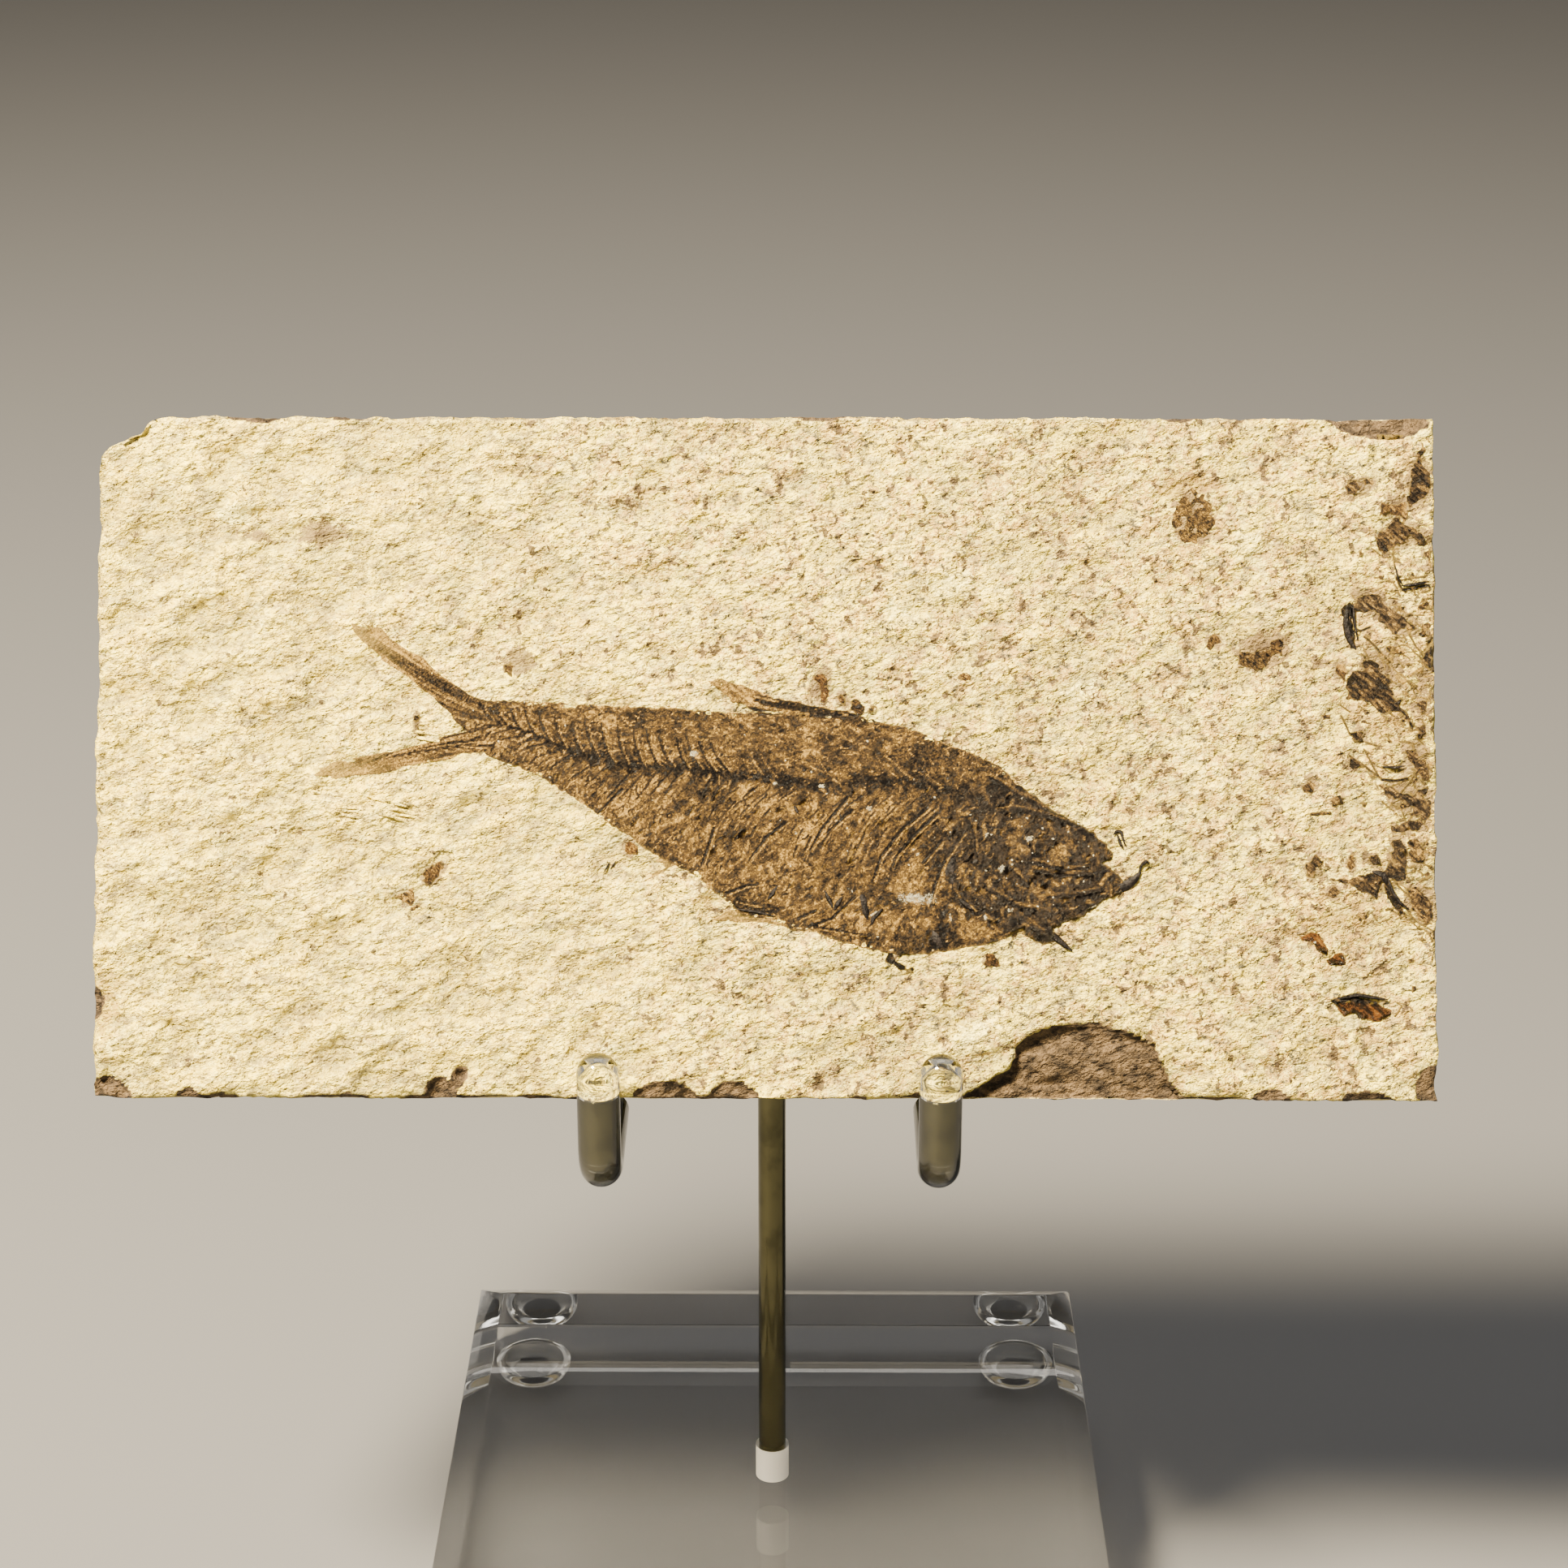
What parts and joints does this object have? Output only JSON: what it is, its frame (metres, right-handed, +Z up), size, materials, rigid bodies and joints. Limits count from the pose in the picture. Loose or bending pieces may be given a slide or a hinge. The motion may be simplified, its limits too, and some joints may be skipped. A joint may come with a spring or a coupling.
{
  "type": "fossil fish slab",
  "caption": "Limestone slab with a fossil fish on its face, leaning back in a clear and brass display stand.",
  "frame": {"origin": "on the floor under the middle of the stand's base block", "axes": "+Z up, +X towards the fish's head, +Y towards the back; the fish faces -Y and leans back"},
  "size_m": [0.144, 0.0762, 0.1426],
  "materials": {
    "limestone": "matte",
    "fossil_bone": "satin",
    "dark_bone": "gloss",
    "clear_acrylic": "gloss",
    "brass": "satin",
    "clear_vinyl": "gloss",
    "clear_rubber": "gloss"
  },
  "bodies": {
    "root": {"slab": "limestone", "fossil_fish": "fossil_bone", "stray_bone_01": "dark_bone", "stray_bone_02": "dark_bone", "stray_bone_03": "dark_bone", "stray_bone_04": "dark_bone", "stray_bone_05": "dark_bone", "stray_bone_06": "dark_bone", "stray_bone_07": "dark_bone", "stray_bone_08": "dark_bone", "stray_bone_09": "dark_bone", "stray_bone_10": "dark_bone", "stray_bone_11": "dark_bone", "base_block": "clear_acrylic", "brass_armature": "brass", "sleeve_left": "clear_vinyl", "sleeve_right": "clear_vinyl", "foot_front_left": "clear_rubber", "foot_front_right": "clear_rubber", "foot_back_left": "clear_rubber", "foot_back_right": "clear_rubber"}
  },
  "joints": []
}
